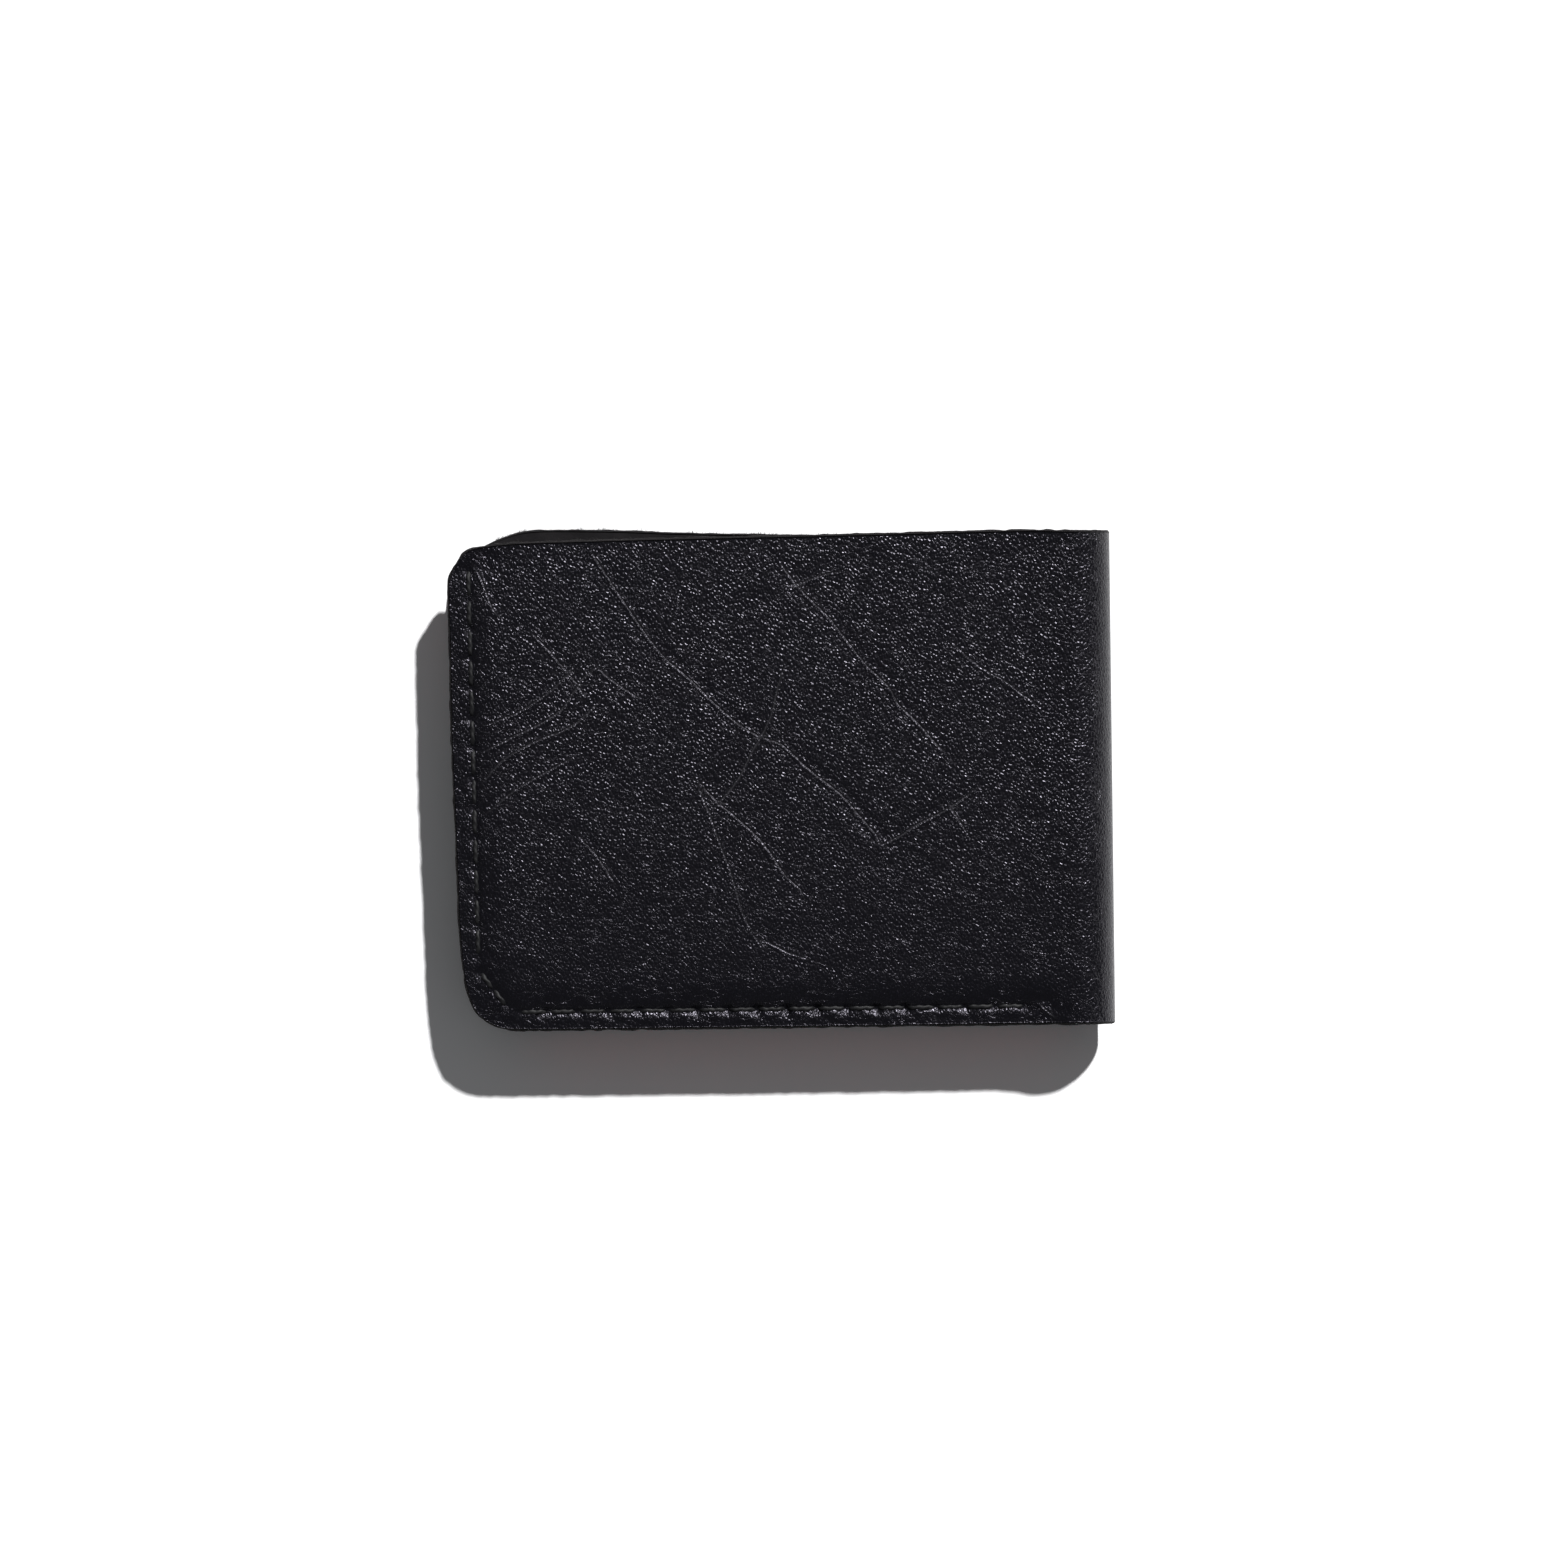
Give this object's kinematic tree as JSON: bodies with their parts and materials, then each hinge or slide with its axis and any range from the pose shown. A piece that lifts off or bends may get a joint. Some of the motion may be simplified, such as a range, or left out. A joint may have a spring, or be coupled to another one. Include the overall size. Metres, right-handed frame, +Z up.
{
  "type": "bifold wallet",
  "caption": "Black grained leather bifold wallet, closed and lying flat, with a banknote compartment, card slots, stitched edges and a soft spine that opens like a book.",
  "frame": {"origin": "middle of the closed wallet's footprint, on the plane it rests on", "axes": "+X towards the fold, +Y towards the open mouth of the banknote compartment, +Z up through the closed wallet from its back cover to its front cover"},
  "size_m": [0.11, 0.083, 0.0135],
  "materials": {
    "cover_leather": "satin, pebbled and creased grain",
    "lining_leather": "satin, fine grain, deep red",
    "thread": "waxed, matte"
  },
  "bodies": {
    "back": {"cover_back": "cover_leather", "liner_back": "lining_leather", "card_slot_back": "lining_leather", "lower_pocket_back": "lining_leather", "side_stitching_back": "thread", "corner_stitching_back": "thread", "foot_stitching_back": "thread", "spine_side_stitching_back": "thread", "slot_hem_stitching_back": "thread"},
    "spine": {"spine": "cover_leather"},
    "front": {"cover_front": "cover_leather", "liner_front": "lining_leather", "card_slot_front": "lining_leather", "lower_pocket_front": "lining_leather", "side_stitching_front": "thread", "corner_stitching_front": "thread", "foot_stitching_front": "thread", "spine_side_stitching_front": "thread", "slot_hem_stitching_front": "thread"}
  },
  "joints": [
    {"name": "fold_back", "type": "hinge", "parent": "back", "child": "spine", "pos_m": [0.05296, 0, 0.00204], "axis": [0, 1, 0], "range_deg": [0, 90]},
    {"name": "fold_front", "type": "hinge", "parent": "spine", "child": "front", "pos_m": [0.05296, 0, 0.01146], "axis": [0, 1, 0], "range_deg": [0, 90]}
  ],
  "couplings": [
    {"joint": "fold_front", "follows": "fold_back", "ratio": 1}
  ]
}
